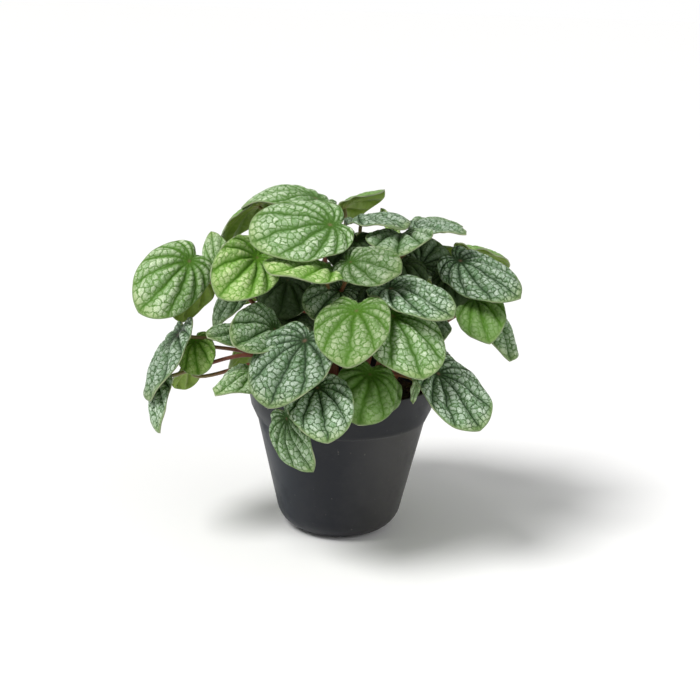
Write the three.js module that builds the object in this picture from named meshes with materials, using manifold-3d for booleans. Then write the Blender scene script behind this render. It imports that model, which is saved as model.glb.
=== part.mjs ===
// Potted peperomia: thirteen leafy stems in a soil-filled nursery pot.
// Millimetres, +Z up. The origin is on the floor under the middle of the pot; the front faces -Y.

import * as THREE from 'three';
import { mergeVertices } from 'three/addons/utils/BufferGeometryUtils.js';
import Module from 'manifold-3d';

// Pot: a 12 cm nursery pot with a deep collar and a rounded foot
const POT_HEIGHT = 98;
const RIM_RADIUS = 60;
const COLLAR_HEIGHT = 24.5;
const COLLAR_FLARE = 8;
const COLLAR_RADIUS = 57.5;
const LIP_HEIGHT = 3;
const WALL_TAPER = 0.231;
const WALL_FOOT_RADIUS = 36.5;
const FOOT_ROUND = 18;
const FOOT_STEPS = 4;
const WALL = 1.5;
const POT_SIDES = 36;

// Drain slots under the rounded foot
const DRAIN_COUNT = 3;
const DRAIN_FIRST_HEADING = 25;
const DRAIN_SPAN = 40;
const DRAIN_HEIGHT = 2.4;
const DRAIN_INNER_RADIUS = 16;
const DRAIN_OUTER_RADIUS = 36;
const DRAIN_STEPS = 6;

// Soil fills the pot up to a little below the rim; its top is gently uneven
const SOIL_TOP = 86;
const SOIL_RINGS = 2;
const SOIL_BUMP = 0.9;
const SOIL_WAVES = [[0.31, 0.17, 0], [-0.11, 0.37, 1]];
const SOIL_GAP = 0.35;
const HOLE_GAP = 0.5;

// Leafy stems: stem, petioles and blades of one stem are one solid
const STEM_RADIUS = 2.6;
const STEM_SIDES = 6;
const STEM_STEPS = 5;
const STEM_ROOT_DEPTH = 9;
const PETIOLE_RADIUS = 1.15;
const PETIOLE_SIDES = 4;
const PETIOLE_STEPS = 5;
const PETIOLE_SPACING = 2.5;
const PETIOLE_RISE = 0.35;
const PETIOLE_ARRIVE_BELOW = 0.3;
const PETIOLE_ARRIVE_BEHIND = 0.12;

// Blade outline around the point where the petiole joins, in shares of the hub-to-tip length:
// a rounded heart with a drawn-out tip and a notch behind the hub
const OUTLINE_MEAN = 0.5325;
const OUTLINE_COSINES = [0.344, 0.0575, 0.046];
const TIP_REACH = 0.02;
const TIP_SPREAD = 0.12;
const NOTCH_DEPTH = 0.06;
const NOTCH_SPREAD = 0.25;
const HALF_WIDTH = 0.535;

// A leaf much narrower than it is long is drawn in beside its tip, so that it ends in a point
const ROUND_RATIO = 0.8;
const SLIM_RATIO = 0.55;
const SHOULDER_LOSS = 0.16;
const SHOULDER_START = 0.3;
const SHOULDER_SPREAD = 1.1;

// Blade surface: creased along its main veins, dimpled over the petiole, waved at its margin
const BLADE_THICKNESS = 0.85;
const MAIN_VEINS = 7;
const INNER_RING = 0.28;
const MIDDLE_RING = 0.64;
const CREST = 0.35;
const HUB_DIMPLE = 3;
const DIMPLE_SPREAD = 0.22;
const MARGIN_WAVE = 0.7;

// Vertices closer than this are one vertex
const WELD = 1e-4;

const DEGREE = Math.PI / 180;

// One leaf: the point where its petiole joins the blade, the blade's tip, the way its upper
// face looks (heading from the front towards +X, then height above level), the blade's width,
// how far its middle arches up along it, and how far its sides hang down (or rise, below zero).
function leaf(hub, tip, face, width, arch, cup) {
  return {
    hub: new THREE.Vector3(...hub),
    tip: new THREE.Vector3(...tip),
    face: headingVector(face[0], face[1]),
    width,
    arch,
    cup,
  };
}

// A leaf of the back and the sides, placed by its heading round the pot: how far out and how
// high its hub and its tip are, and how far its tip swings sideways from the hub's heading.
function ringLeaf(heading, hubAt, tipAt, swing, width, arch, cup) {
  const hubWay = headingVector(heading, 0).multiplyScalar(hubAt[0]);
  const tipWay = headingVector(heading + swing, 0).multiplyScalar(tipAt[0]);
  const slope = Math.atan2(hubAt[1] - tipAt[1], tipAt[0] - hubAt[0]) / DEGREE;
  const hub = [hubWay.x, hubWay.y, hubAt[1]];
  const tip = [tipWay.x, tipWay.y, tipAt[1]];
  return leaf(hub, tip, [heading, 90 - slope], width, arch, cup);
}

const STEMS = [
  {
    name: 'leafy_stem_front_left',
    foot: [-16, -22],
    crown: [-28, -42, 108],
    leaves: [
      leaf([-22, -76, 140], [-41, -105, 110], [-28, 40], 49, 3, 2),
      leaf([-31, -81, 95], [-15, -94, 67], [-42, 10], 27, 4, -1),
      leaf([-51, -60, 116], [-72, -90, 110], [-30, 60], 26, 2, 5),
      leaf([-41, -50, 140], [-62, -84, 138], [-5, 30], 34, 3, -4),
      leaf([-31, -32, 141], [-28, -50, 128], [5, 40], 28, 3, 3),
    ],
  },
  {
    name: 'leafy_stem_front',
    foot: [0, -28],
    crown: [2, -46, 106],
    leaves: [
      leaf([-14, -82, 114], [-7, -111, 92], [-3, 43], 37, 5, 2),
      leaf([16, -68, 119], [10, -91, 96], [8, 35], 36, 4, 5),
      leaf([17, -60, 117], [17, -84, 98], [14, 30], 36, 4, 5),
      leaf([7, -70, 157], [2, -104, 134], [-15, 43], 43, 3, 1),
    ],
  },
  {
    name: 'leafy_stem_front_right',
    foot: [18, -22],
    crown: [28, -36, 108],
    leaves: [
      leaf([28, -63, 153], [46, -96, 125], [20, 41], 45, 4, 4),
      leaf([56, -62, 119], [81, -84, 92], [38, 30], 42, 3, 2),
      leaf([27, -48, 166], [62, -77, 156], [30, 53], 38, 5, 2),
      leaf([45, -38, 147], [58, -63, 139], [18, 37], 24, 3, 2),
      leaf([43, -52, 112], [42, -57, 99], [20, 20], 5, 1, 1),
    ],
  },
  {
    name: 'leafy_stem_right',
    foot: [26, -6],
    crown: [48, -14, 118],
    leaves: [
      leaf([70, -12, 177], [104, -41, 162], [12, 43], 36, 3, 9),
      leaf([80, -15, 154], [87, -46, 135], [-5, 37], 30, 3, 3),
      leaf([88, -2, 148], [102, -29, 119], [53, 24], 34, 5, 5),
      leaf([73, 20, 178], [106, 43, 163], [162, 57], 31, 3, 5),
      leaf([64, -4, 165], [69, -22, 151], [5, 40], 24, 3, 3),
    ],
  },
  {
    name: 'leafy_stem_left',
    foot: [-27, -4],
    crown: [-52, -12, 106],
    leaves: [
      leaf([-101, -23, 128], [-116, -49, 93], [-68, 23], 46, 4, 4),
      leaf([-110, -30, 103], [-109, -55, 76], [-68, 21], 28, 3, 4),
      leaf([-91, -16, 122], [-87, -38, 107], [-12, 32], 23, 3, 4),
      leaf([-95, -9, 101], [-101, 9, 85], [-145, 27], 23, 3, 3),
      leaf([-58, -38, 111], [-66, -54, 104], [-28, 29], 21, 3, 4),
    ],
  },
  {
    name: 'leafy_stem_upper_left',
    foot: [-22, -14],
    crown: [-44, -22, 128],
    leaves: [
      leaf([-95, -18, 173], [-122, -42, 146], [4, 16], 39, 7, 6),
      leaf([-53, -32, 179], [-72, -67, 163], [15, 25], 37, 3, -2),
      leaf([-60, -19, 160], [-77, -47, 137], [-32, 25], 23, 4, 2),
      leaf([-54, -41, 132], [-78, -68, 138], [-13, 52], 28, 3, 3),
      leaf([-35, -18, 163], [-39, -35, 143], [0, 30], 34, 3, 3),
    ],
  },
  {
    name: 'leafy_stem_left_back',
    foot: [-24, 10],
    crown: [-40, 8, 130],
    leaves: [
      leaf([-78, 0, 164], [-85, 17, 186], [-20, 16], 20, 3, 3),
      leaf([-90, 0, 159], [-103, 8, 129], [-149, 40], 30, 4, 3),
    ],
  },
  {
    name: 'leafy_stem_top_front',
    foot: [-6, -14],
    crown: [-8, -22, 140],
    leaves: [
      leaf([-10, -32, 200], [-56, -48, 192], [0, 54], 50, 5, 4),
      leaf([-12, -41, 175], [-43, -70, 177], [-1, 78], 46, 4, 2),
      leaf([3, -48, 181], [31, -68, 180], [4, 50], 32, 3, 4),
      leaf([-3, -30, 160], [-19, -52, 148], [1, 39], 30, 3, 3),
      leaf([6, -16, 188], [4, -40, 172], [0, 45], 34, 2, 3),
      leaf([13, -22, 161], [12, -39, 147], [5, 35], 26, 3, 3),
    ],
  },
  {
    name: 'leafy_stem_top',
    foot: [-4, 6],
    crown: [-14, 8, 146],
    leaves: [
      leaf([-20, 7, 210], [-66, 15, 202], [0, 90], 51, 13, 6),
      leaf([-56, 23, 202], [-77, 41, 176], [-125, 38], 38, 3, 5),
      leaf([-2, 16, 203], [23, 40, 208], [175, 42], 31, 2, 5),
    ],
  },
  {
    name: 'leafy_stem_top_right',
    foot: [12, -4],
    crown: [26, -4, 142],
    leaves: [
      leaf([33, -17, 192], [30, -43, 186], [-14, 47], 39, 3, -1),
      leaf([9, -9, 200], [35, -30, 200], [0, 87], 33, 4, 3),
      leaf([43, 17, 192], [70, 44, 192], [0, 88], 36, 2, 2),
      leaf([43, 2, 195], [72, -20, 195], [0, 86], 28, 2, 2),
      leaf([47, 3, 171], [59, 19, 183], [0, 30], 31, 3, 3),
      leaf([35, -2, 172], [41, -21, 160], [10, 35], 26, 3, 3),
      leaf([30, 15, 189], [21, 26, 203], [0, 20], 8, 1, 1),
    ],
  },
  {
    name: 'leafy_stem_back_right',
    foot: [20, 12],
    crown: [36, 18, 126],
    leaves: [
      ringLeaf(98, [70, 106], [90, 68], 3, 42, 4, 4),
      ringLeaf(132, [72, 108], [93, 72], -4, 46, 4, 4),
      ringLeaf(108, [60, 150], [94, 132], 5, 44, 4, 4),
      ringLeaf(138, [62, 157], [97, 138], 3, 44, 4, 4),
    ],
  },
  {
    name: 'leafy_stem_back',
    foot: [2, 24],
    crown: [4, 40, 128],
    leaves: [
      ringLeaf(160, [74, 120], [104, 88], 4, 46, 4, 4),
      ringLeaf(192, [72, 114], [100, 80], -5, 46, 4, 4),
      ringLeaf(174, [58, 152], [96, 134], 4, 46, 4, 4),
      ringLeaf(148, [38, 182], [80, 170], 3, 42, 4, 4),
    ],
  },
  {
    name: 'leafy_stem_back_left',
    foot: [-16, 18],
    crown: [-28, 30, 128],
    leaves: [
      ringLeaf(224, [72, 112], [96, 78], 3, 46, 4, 4),
      ringLeaf(208, [60, 158], [96, 142], -3, 44, 4, 4),
      ringLeaf(240, [62, 148], [92, 126], 3, 42, 4, 4),
      ringLeaf(202, [36, 184], [78, 173], -3, 44, 4, 4),
      ringLeaf(232, [46, 178], [84, 163], 4, 42, 4, 4),
    ],
  },
];

function headingVector(heading, height) {
  const level = Math.cos(height * DEGREE);
  return new THREE.Vector3(
    Math.sin(heading * DEGREE) * level,
    -Math.cos(heading * DEGREE) * level,
    Math.sin(height * DEGREE),
  );
}

const wasm = await Module();
wasm.setup();

// A closed three.js geometry becomes a solid once its shared vertices are merged.
function toSolid(geometry) {
  const bare = geometry.index ? geometry.toNonIndexed() : geometry.clone();
  bare.deleteAttribute('normal');
  bare.deleteAttribute('uv');
  const merged = mergeVertices(bare, WELD);
  return new wasm.Manifold(new wasm.Mesh({
    numProp: 3,
    vertProperties: new Float32Array(merged.attributes.position.array),
    triVerts: new Uint32Array(merged.index.array),
  }));
}

function toGeometry(solid) {
  const mesh = solid.getMesh();
  const geometry = new THREE.BufferGeometry();
  geometry.setAttribute('position', new THREE.BufferAttribute(mesh.vertProperties, 3));
  geometry.setIndex(new THREE.BufferAttribute(mesh.triVerts, 1));
  geometry.computeVertexNormals();
  return geometry;
}

// A lathe turns about Y, so its solid is tipped up to turn about Z.
function latheSolid(profile) {
  const points = profile.map(([radius, z]) => new THREE.Vector2(radius, z));
  const geometry = new THREE.LatheGeometry(points, POT_SIDES);
  geometry.rotateX(Math.PI / 2);
  return toSolid(geometry);
}

// Pot

function wallRadius(z) {
  return WALL_FOOT_RADIUS + WALL_TAPER * z;
}

// The outside of the pot, moved in by an offset, from the floor up to the given height.
function potProfile(offset, top) {
  const lean = Math.atan(WALL_TAPER);
  const round = FOOT_ROUND - offset;
  const roundCentre = wallRadius(FOOT_ROUND) - FOOT_ROUND / Math.cos(lean);
  const collarBottom = POT_HEIGHT - COLLAR_HEIGHT;
  const profile = [[0, offset]];
  for (let step = 0; step <= FOOT_STEPS; step += 1) {
    const angle = (Math.PI / 2 - lean) * (step / FOOT_STEPS);
    const radius = roundCentre + round * Math.sin(angle);
    const z = FOOT_ROUND - round * Math.cos(angle);
    profile.push([radius, z]);
  }
  profile.push([wallRadius(collarBottom) - offset, collarBottom]);
  profile.push([COLLAR_RADIUS - offset, collarBottom + COLLAR_FLARE]);
  const upperTaper = (RIM_RADIUS - COLLAR_RADIUS) / (COLLAR_HEIGHT - COLLAR_FLARE - LIP_HEIGHT);
  profile.push([COLLAR_RADIUS - offset + upperTaper * (top - collarBottom - COLLAR_FLARE), top]);
  return profile;
}

function drainCutter(heading) {
  const start = (heading - DRAIN_SPAN / 2 - 90) * DEGREE;
  const end = (heading + DRAIN_SPAN / 2 - 90) * DEGREE;
  const sector = new THREE.Shape();
  sector.absarc(0, 0, DRAIN_OUTER_RADIUS, start, end, false);
  sector.absarc(0, 0, DRAIN_INNER_RADIUS, end, start, true);
  const geometry = new THREE.ExtrudeGeometry(sector, {
    depth: DRAIN_HEIGHT * 2,
    bevelEnabled: false,
    curveSegments: DRAIN_STEPS,
  });
  geometry.translate(0, 0, -DRAIN_HEIGHT);
  return toSolid(geometry);
}

function potGeometry() {
  const outside = potProfile(0, POT_HEIGHT - LIP_HEIGHT);
  const inside = potProfile(WALL, POT_HEIGHT - LIP_HEIGHT).reverse();
  const lip = [[RIM_RADIUS, POT_HEIGHT], [RIM_RADIUS - WALL, POT_HEIGHT]];
  let pot = latheSolid([...outside, ...lip, ...inside]);
  for (let index = 0; index < DRAIN_COUNT; index += 1) {
    pot = pot.subtract(drainCutter(DRAIN_FIRST_HEADING + index * 360 / DRAIN_COUNT));
  }
  return toGeometry(pot);
}

// Soil

function soilBump(x, y) {
  const heights = SOIL_WAVES.map(([overX, overY, shift]) => Math.sin(x * overX + y * overY + shift));
  return SOIL_BUMP * heights.reduce((sum, height) => sum + height, 0);
}

function soilGeometry() {
  const profile = potProfile(WALL + SOIL_GAP, SOIL_TOP);
  const rimRadius = profile[profile.length - 1][0];
  for (let ring = SOIL_RINGS - 1; ring >= 0; ring -= 1) {
    profile.push([rimRadius * ring / SOIL_RINGS, SOIL_TOP]);
  }
  const points = profile.map(([radius, z]) => new THREE.Vector2(radius, z));
  const geometry = new THREE.LatheGeometry(points, POT_SIDES);
  geometry.rotateX(Math.PI / 2);
  const position = geometry.attributes.position;
  for (let index = 0; index < position.count; index += 1) {
    const radius = Math.hypot(position.getX(index), position.getY(index));
    if (position.getZ(index) > SOIL_TOP - SOIL_GAP && radius < rimRadius - SOIL_GAP) {
      position.setZ(index, SOIL_TOP + soilBump(position.getX(index), position.getY(index)));
    }
  }
  let soil = toSolid(geometry);
  for (const stem of STEMS) {
    soil = soil.subtract(stemSolid(stem, STEM_RADIUS + HOLE_GAP, STEM_ROOT_DEPTH + HOLE_GAP));
  }
  return toGeometry(soil);
}

// Stems and petioles

function tubeSolid(curve, radius, sides, steps) {
  const corners = Array.from({ length: sides }, (_, side) => {
    const angle = 2 * Math.PI * side / sides;
    return new THREE.Vector2(radius * Math.cos(angle), radius * Math.sin(angle));
  });
  const section = new THREE.Shape(corners);
  return toSolid(new THREE.ExtrudeGeometry(section, { steps, bevelEnabled: false, extrudePath: curve }));
}

// A stem rises straight out of its hole in the soil and leans out to its crown.
function stemCurve(stem, rootDepth) {
  const crown = new THREE.Vector3(...stem.crown);
  const root = new THREE.Vector3(stem.foot[0], stem.foot[1], SOIL_TOP - rootDepth);
  const neck = new THREE.Vector3(stem.foot[0], stem.foot[1], SOIL_TOP + (crown.z - SOIL_TOP) / 2);
  return new THREE.QuadraticBezierCurve3(root, neck, crown);
}

function stemSolid(stem, radius, rootDepth) {
  return tubeSolid(stemCurve(stem, rootDepth), radius, STEM_SIDES, STEM_STEPS);
}

function petioleCurve(start, item) {
  const { along, up } = bladeFrame(item);
  const reach = start.distanceTo(item.hub);
  const leave = start.clone();
  leave.z += reach * PETIOLE_RISE;
  const arrive = item.hub.clone();
  arrive.addScaledVector(up, -reach * PETIOLE_ARRIVE_BELOW);
  arrive.addScaledVector(along, -reach * PETIOLE_ARRIVE_BEHIND);
  return new THREE.CubicBezierCurve3(start, leave, arrive, item.hub);
}

// Blades

// The blade lies along the line from its hub to its tip and faces the leaf's own way.
function bladeFrame(item) {
  const along = item.tip.clone().sub(item.hub);
  const length = along.length();
  along.normalize();
  const up = item.face.clone().addScaledVector(along, -item.face.dot(along)).normalize();
  const across = new THREE.Vector3().crossVectors(up, along);
  return { along, across, up, length };
}

// Distance from hub to margin, as a share of the hub-to-tip length; the angle is 0 at the tip.
function slimness(item) {
  const ratio = item.width / (2 * HALF_WIDTH * item.tip.distanceTo(item.hub));
  return THREE.MathUtils.clamp((ROUND_RATIO - ratio) / (ROUND_RATIO - SLIM_RATIO), 0, 1);
}

function outlineRadius(angle, slim) {
  const waves = OUTLINE_COSINES.map((size, index) => size * Math.cos((index + 1) * angle));
  const body = waves.reduce((sum, wave) => sum + wave, OUTLINE_MEAN);
  const point = TIP_REACH * Math.exp(-angle / TIP_SPREAD);
  const notch = NOTCH_DEPTH * Math.exp(-(Math.PI - angle) / NOTCH_SPREAD);
  const beside = (1 - Math.exp(-angle / SHOULDER_START)) * Math.exp(-((angle / SHOULDER_SPREAD) ** 2));
  return body + point - notch - slim * SHOULDER_LOSS * beside;
}

// Height of the blade's middle surface over the line from hub to tip, in millimetres.
function bladeHeight(item, u, v, angle, share) {
  const radius = Math.hypot(u, v);
  const archAt = (distance) => item.arch * (1 - ((distance - CREST) / (1 - CREST)) ** 2);
  const dimple = HUB_DIMPLE * Math.exp(-((radius / DIMPLE_SPREAD) ** 2));
  const sides = item.cup * (v / HALF_WIDTH) ** 2;
  const wave = MARGIN_WAVE * Math.cos(MAIN_VEINS * angle) * share ** 2;
  const hubHeight = archAt(0) - HUB_DIMPLE;
  return archAt(u) - sides - dimple - wave - hubHeight + u * hubHeight;
}

function bladeSolid(item) {
  const { along, across, up, length } = bladeFrame(item);
  const widen = item.width / (2 * HALF_WIDTH * length);
  const slim = slimness(item);
  const middle = [];
  const addPoint = (index, share) => {
    const angle = Math.PI * index / MAIN_VEINS;
    const radius = share * outlineRadius(Math.min(angle, 2 * Math.PI - angle), slim);
    const u = radius * Math.cos(angle);
    const v = radius * Math.sin(angle);
    const height = bladeHeight(item, u, v, angle, share);
    middle.push(item.hub.clone()
      .addScaledVector(along, u * length)
      .addScaledVector(across, v * length * widen)
      .addScaledVector(up, height));
  };
  addPoint(0, 0);
  for (const share of [INNER_RING, MIDDLE_RING]) {
    for (let vein = 0; vein < MAIN_VEINS; vein += 1) {
      addPoint(2 * vein, share);
    }
  }
  for (let index = 0; index < 2 * MAIN_VEINS; index += 1) {
    addPoint(index, 1);
  }
  const inner = (vein) => 1 + vein % MAIN_VEINS;
  const mid = (vein) => 1 + MAIN_VEINS + vein % MAIN_VEINS;
  const outer = (index) => 1 + 2 * MAIN_VEINS + index % (2 * MAIN_VEINS);
  const faces = [];
  for (let vein = 0; vein < MAIN_VEINS; vein += 1) {
    const side = 2 * vein;
    faces.push([0, inner(vein), inner(vein + 1)]);
    faces.push([inner(vein), mid(vein), mid(vein + 1)]);
    faces.push([inner(vein), mid(vein + 1), inner(vein + 1)]);
    faces.push([mid(vein), outer(side), outer(side + 1)]);
    faces.push([mid(vein), outer(side + 1), mid(vein + 1)]);
    faces.push([mid(vein + 1), outer(side + 1), outer(side + 2)]);
  }
  const count = middle.length;
  const positions = [];
  for (const side of [0.5, -0.5]) {
    for (const point of middle) {
      const shifted = point.clone().addScaledVector(up, side * BLADE_THICKNESS);
      positions.push(shifted.x, shifted.y, shifted.z);
    }
  }
  const triangles = [];
  for (const [a, b, c] of faces) {
    triangles.push(a, b, c);
    triangles.push(a + count, c + count, b + count);
  }
  for (let index = 0; index < 2 * MAIN_VEINS; index += 1) {
    const here = outer(index);
    const next = outer(index + 1);
    triangles.push(here, here + count, next + count);
    triangles.push(here, next + count, next);
  }
  const geometry = new THREE.BufferGeometry();
  geometry.setAttribute('position', new THREE.Float32BufferAttribute(positions, 3));
  geometry.setIndex(triangles);
  return toSolid(geometry);
}

function leafyStemGeometry(stem) {
  const curve = stemCurve(stem, STEM_ROOT_DEPTH);
  let solid = stemSolid(stem, STEM_RADIUS, STEM_ROOT_DEPTH);
  stem.leaves.forEach((item, index) => {
    const start = curve.getPointAt(1 - PETIOLE_SPACING * (index + 0.5) / curve.getLength());
    solid = solid.add(tubeSolid(petioleCurve(start, item), PETIOLE_RADIUS, PETIOLE_SIDES, PETIOLE_STEPS));
    solid = solid.add(bladeSolid(item));
  });
  return toGeometry(solid);
}

// Materials and assembly

const potPlastic = new THREE.MeshStandardMaterial({ color: 0x303238, roughness: 0.45, metalness: 0 });
const darkSoil = new THREE.MeshStandardMaterial({ color: 0x1d1713, roughness: 0.95, metalness: 0 });
const leafGreen = new THREE.MeshStandardMaterial({ color: 0x5f8a55, roughness: 0.42, metalness: 0 });

const group = new THREE.Group();

function addMesh(name, geometry, material) {
  const mesh = new THREE.Mesh(geometry, material.clone());
  mesh.name = name;
  group.add(mesh);
}

addMesh('pot', potGeometry(), potPlastic);
addMesh('soil', soilGeometry(), darkSoil);
for (const stem of STEMS) {
  addMesh(stem.name, leafyStemGeometry(stem), leafGreen);
}

export default group;
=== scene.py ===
# %% [markdown]
# # A potted peperomia
#
# A low, bushy plant with silver-patterned, quilted leaves, in a dark nursery pot. The solids that
# come with the frame already hold the pot, the soil and every blade and stalk at its place. They are
# coarse, so each one is replaced here by a finer piece that keeps its form and adds what the eye
# looks for: the swollen pads between the veins, the waved margins, the crumbs of the soil.

import math
from types import SimpleNamespace

import bmesh
import bpy
import numpy as np
from mathutils import Matrix, Vector


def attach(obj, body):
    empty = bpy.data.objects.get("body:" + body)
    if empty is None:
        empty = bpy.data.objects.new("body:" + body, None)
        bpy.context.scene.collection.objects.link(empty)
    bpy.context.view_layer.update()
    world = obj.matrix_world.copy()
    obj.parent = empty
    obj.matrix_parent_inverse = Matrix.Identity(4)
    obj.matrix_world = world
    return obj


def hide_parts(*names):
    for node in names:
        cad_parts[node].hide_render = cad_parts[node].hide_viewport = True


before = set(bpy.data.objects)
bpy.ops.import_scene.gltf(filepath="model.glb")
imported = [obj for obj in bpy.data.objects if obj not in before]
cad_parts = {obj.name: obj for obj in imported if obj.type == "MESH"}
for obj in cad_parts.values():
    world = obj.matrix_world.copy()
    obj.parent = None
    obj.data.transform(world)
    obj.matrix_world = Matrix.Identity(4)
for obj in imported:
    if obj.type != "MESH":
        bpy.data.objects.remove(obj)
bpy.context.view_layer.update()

# %% [markdown]
# The photograph looks slightly down on the plant from its front. A camera can be set by eye or
# worked out from something round whose size is known. Here the rim and the foot of the pot gave the
# distance, the height and the three angles.

# %% Camera
CAMERA_AT = Vector((0, -0.8, 0.32408))
PITCH = math.radians(14.59)
YAW = math.radians(0.31)
ROLL = math.radians(1.79)
LENS = 67.36
SENSOR_WIDTH = 36
NEAREST_SEEN = 0.01

looking = Vector((math.sin(YAW) * math.cos(PITCH), math.cos(YAW) * math.cos(PITCH), -math.sin(PITCH)))
level_right = looking.cross(Vector((0, 0, 1))).normalized()
level_up = level_right.cross(looking)
camera_right = level_right * math.cos(ROLL) + level_up * math.sin(ROLL)
camera_up = level_up * math.cos(ROLL) - level_right * math.sin(ROLL)
turn = Matrix((camera_right, camera_up, -looking)).transposed()
bpy.ops.object.camera_add(location=CAMERA_AT, rotation=turn.to_euler())
camera = bpy.context.object
camera.data.sensor_width = SENSOR_WIDTH
camera.data.lens = LENS
camera.data.clip_start = NEAREST_SEEN
bpy.context.scene.camera = camera
print("camera at", tuple(camera.location), "lens", camera.data.lens)

# %% [markdown]
# A plant is best shown on a pale floor in soft light, so that no leaf casts a hard shadow on the
# next. A broad sun, like a tall window at the front left, gives the pads their highlights, and a
# weaker disc lamp fills the right. The surround looks white, but it lights the plant with about a
# third of that, or the leaves would lose their shadows.

# %% Floor, surround and lamps
FLOOR_SIZE = 400
SURROUND_ON_PLANT = 0.36
PLANT_MIDDLE = Vector((0, 0, 0.13))


def deselect_all():
    bpy.ops.object.select_all(action="DESELECT")


def paint(red, green, blue):
    """A colour as read from a photograph, turned into the linear values that materials use."""
    def linear(value):
        share = value / 255
        return share / 12.92 if share <= 0.04045 else ((share + 0.055) / 1.055) ** 2.4
    return (linear(red), linear(green), linear(blue), 1)


def new_finish(name):
    """A material with its node tree and its one Principled shader."""
    material = bpy.data.materials.new(name)
    material.use_nodes = True
    return material, material.node_tree, material.node_tree.nodes["Principled BSDF"]


def aimed_lamp(kind, name, place, strength, colour):
    aim = (PLANT_MIDDLE - Vector(place)).to_track_quat("-Z", "Y")
    bpy.ops.object.light_add(type=kind, location=place, rotation=aim.to_euler())
    lamp = bpy.context.object
    lamp.name = name
    lamp.data.energy = strength
    lamp.data.color = colour
    return lamp


deselect_all()
bpy.ops.mesh.primitive_plane_add(size=FLOOR_SIZE)
floor = bpy.context.object
floor.name = "studio_floor"
floor_paint, _, finish = new_finish("pale_floor")
finish.inputs["Base Color"].default_value = paint(255, 255, 255)
finish.inputs["Roughness"].default_value = 0.9
floor.data.materials.append(floor_paint)

surround = bpy.data.worlds.new("bright_surround")
surround.use_nodes = True
tree = surround.node_tree
light = tree.nodes["Background"]
light.inputs["Color"].default_value = (1, 1, 1, 1)
seen = tree.nodes.new("ShaderNodeLightPath").outputs["Is Camera Ray"]
brightness = tree.nodes.new("ShaderNodeMapRange")
brightness.inputs["To Min"].default_value = SURROUND_ON_PLANT
tree.links.new(seen, brightness.inputs["Value"])
tree.links.new(brightness.outputs[0], light.inputs["Strength"])
bpy.context.scene.world = surround
bpy.context.scene.view_settings.view_transform = "Standard"

window = aimed_lamp("SUN", "high_window", (-0.7, -0.5, 1.3), 2.7, (1, 0.995, 0.985))
window.data.angle = math.radians(26)
side_lamp = aimed_lamp("AREA", "side_lamp", (0.95, -0.75, 0.6), 3.2, (1, 1, 1))
side_lamp.data.shape = "DISK"
side_lamp.data.size = 0.9
print("lamps:", window.name, side_lamp.name)

# %% [markdown]
# The pot is one thin shell of moulded plastic: a rounded foot, a tapered wall and a deep collar that
# starts at a thin ledge and ends in a lip. It could be turned with a screw modifier. Drawing it up
# ring by ring is closer to how one would sketch it by hand: a disc is the underside, each extrusion
# lifts the top face to the next ring, and past the lip the same face goes down again inside and ends
# as the floor of the pot.

# %% Pot profile
POT_HEIGHT = 0.098
RIM_RADIUS = 0.060
COLLAR_HEIGHT = 0.0245
COLLAR_BOTTOM = POT_HEIGHT - COLLAR_HEIGHT
COLLAR_LEDGE = 0.0005
COLLAR_FLARE = 0.008
COLLAR_RADIUS = 0.0575
LIP_BOTTOM = POT_HEIGHT - 0.003
WALL_FOOT_RADIUS = 0.0365
WALL_TAPER = 0.231
FOOT_ROUND = 0.018
WALL = 0.0015
FOOT_RINGS = 9
POT_SIDES = 144


def wall_profile(offset, top):
    """Rings (radius, height) of the pot's outside, moved in by an offset, from the foot up."""
    lean = math.atan(WALL_TAPER)
    centre = WALL_FOOT_RADIUS + WALL_TAPER * FOOT_ROUND - FOOT_ROUND / math.cos(lean)
    rings = []
    for step in range(FOOT_RINGS + 1):
        angle = (math.pi / 2 - lean) * step / FOOT_RINGS
        radius = centre + (FOOT_ROUND - offset) * math.sin(angle)
        rings.append((radius, FOOT_ROUND - (FOOT_ROUND - offset) * math.cos(angle)))
    wall_top = WALL_FOOT_RADIUS + WALL_TAPER * COLLAR_BOTTOM - offset
    rings.append((wall_top, COLLAR_BOTTOM))
    rings.append((wall_top + COLLAR_LEDGE, COLLAR_BOTTOM + COLLAR_LEDGE / 2))
    flare_top = COLLAR_BOTTOM + COLLAR_FLARE
    rings.append((COLLAR_RADIUS - offset, flare_top))
    upper_taper = (RIM_RADIUS - COLLAR_RADIUS) / (LIP_BOTTOM - flare_top)
    rings.append((COLLAR_RADIUS - offset + upper_taper * (top - flare_top), top))
    return rings


outside = wall_profile(0, LIP_BOTTOM)
inside = wall_profile(WALL, LIP_BOTTOM)[::-1]
pot_rings = outside + [(RIM_RADIUS, POT_HEIGHT), (RIM_RADIUS - WALL, POT_HEIGHT)] + inside
print("pot rings:", len(pot_rings))

# %% Pot shell
def draw_up(name, rings, sides):
    """A closed body drawn through rings, from a disc at the first ring to a disc at the last."""
    deselect_all()
    radius, height = rings[0]
    bpy.ops.mesh.primitive_circle_add(
        vertices=sides, radius=radius, fill_type="NGON", location=(0, 0, height),
    )
    body = bpy.context.object
    body.name = name
    bpy.ops.object.transform_apply()
    bpy.ops.object.mode_set(mode="EDIT")
    for (radius, height), (next_radius, next_height) in zip(rings, rings[1:]):
        lift = (0, 0, next_height - height)
        bpy.ops.mesh.extrude_region_move(TRANSFORM_OT_translate={"value": lift})
        grow = next_radius / radius
        bpy.ops.transform.resize(value=(grow, grow, 1), center_override=(0, 0, next_height))
    bpy.ops.mesh.select_all(action="SELECT")
    bpy.ops.mesh.normals_make_consistent()
    bpy.ops.object.mode_set(mode="OBJECT")
    return body


def apply_modifiers(piece):
    bpy.context.view_layer.objects.active = piece
    for modifier in list(piece.modifiers):
        bpy.ops.object.modifier_apply(modifier=modifier.name)


pot = draw_up("nursery_pot", pot_rings, POT_SIDES)
print("pot shell faces:", len(pot.data.polygons))

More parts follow.
